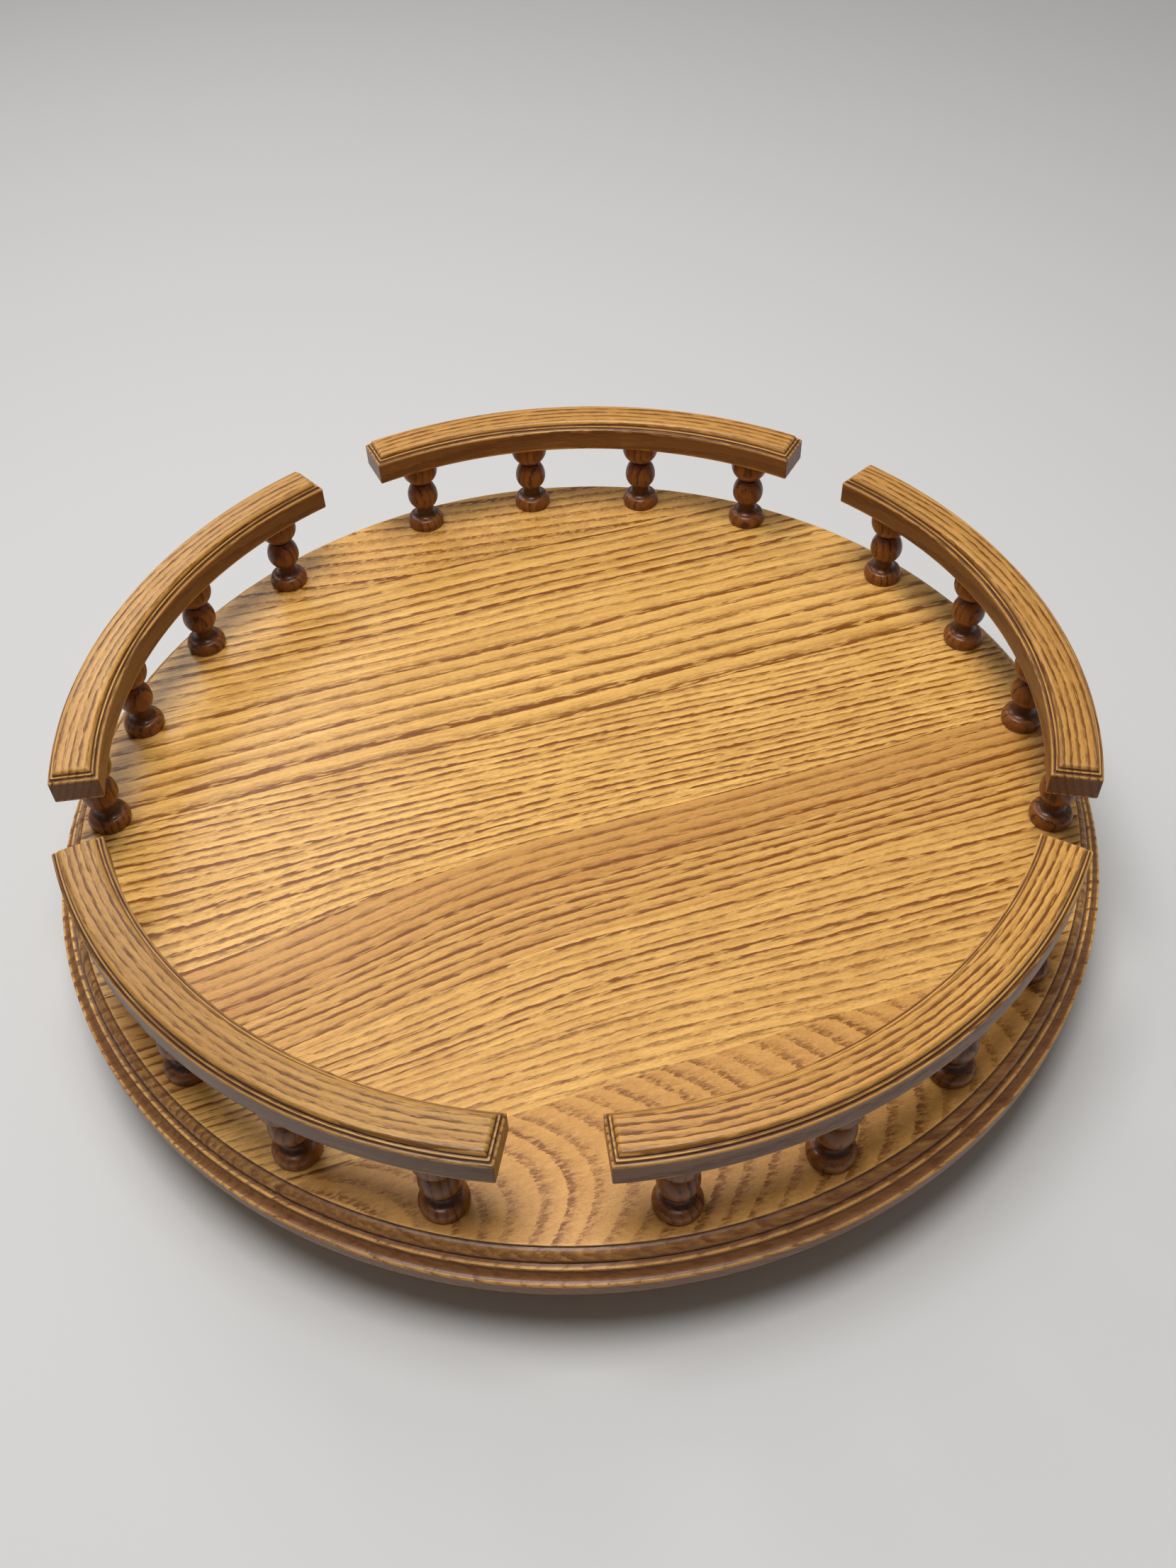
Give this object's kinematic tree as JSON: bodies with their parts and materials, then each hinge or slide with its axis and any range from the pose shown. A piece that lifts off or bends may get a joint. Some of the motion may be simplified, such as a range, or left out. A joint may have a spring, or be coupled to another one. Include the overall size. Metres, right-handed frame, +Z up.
{
  "type": "lazy susan turntable",
  "caption": "Round wooden turntable tray with a routed edge and a raised gallery of curved rails on turned spindles, spinning on a ball-bearing swivel over a footed base.",
  "frame": {"origin": "on the floor under the centre of the turntable, level with the undersides of the feet", "axes": "+Z up along the turning axis; +Y through the middle of rail_1, with the other rails anticlockwise from above; +X to the right"},
  "size_m": [0.4572, 0.4572, 0.1064],
  "materials": {
    "oak_board": "satin clear lacquer over golden oak",
    "oak_rail": "satin clear lacquer over golden oak",
    "oak_spindle": "glossy lacquer over darker turned oak",
    "oak_base": "satin clear lacquer over golden oak",
    "zinc_steel": "zinc-plated pressed steel",
    "screw_steel": "zinc-plated",
    "ball_steel": "polished, lightly greased",
    "foot_rubber": "matt black"
  },
  "bodies": {
    "base": {"base_board": "oak_base", "foot_1": "foot_rubber", "foot_2": "foot_rubber", "foot_3": "foot_rubber", "foot_4": "foot_rubber", "foot_screws": "screw_steel", "bearing_lower_plate": "zinc_steel", "base_screws": "screw_steel"},
    "turntable": {"tray_board": "oak_board", "rail_1": "oak_rail", "rail_2": "oak_rail", "rail_3": "oak_rail", "rail_4": "oak_rail", "rail_5": "oak_rail", "spindle_1_1": "oak_spindle", "spindle_1_2": "oak_spindle", "spindle_1_3": "oak_spindle", "spindle_1_4": "oak_spindle", "spindle_2_1": "oak_spindle", "spindle_2_2": "oak_spindle", "spindle_2_3": "oak_spindle", "spindle_2_4": "oak_spindle", "spindle_3_1": "oak_spindle", "spindle_3_2": "oak_spindle", "spindle_3_3": "oak_spindle", "spindle_3_4": "oak_spindle", "spindle_4_1": "oak_spindle", "spindle_4_2": "oak_spindle", "spindle_4_3": "oak_spindle", "spindle_4_4": "oak_spindle", "spindle_5_1": "oak_spindle", "spindle_5_2": "oak_spindle", "spindle_5_3": "oak_spindle", "spindle_5_4": "oak_spindle", "bearing_upper_plate": "zinc_steel", "tray_screws": "screw_steel"},
    "ball_ring": {"bearing_balls": "ball_steel"}
  },
  "joints": [
    {"name": "turntable_spin", "type": "hinge", "parent": "base", "child": "turntable", "pos_m": [0, 0, 0.029], "axis": [0, 0, 1], "continuous": true},
    {"name": "ball_ring_spin", "type": "hinge", "parent": "base", "child": "ball_ring", "pos_m": [0, 0, 0.029], "axis": [0, 0, 1], "continuous": true}
  ],
  "couplings": [
    {"joint": "ball_ring_spin", "follows": "turntable_spin", "ratio": 0.5}
  ]
}
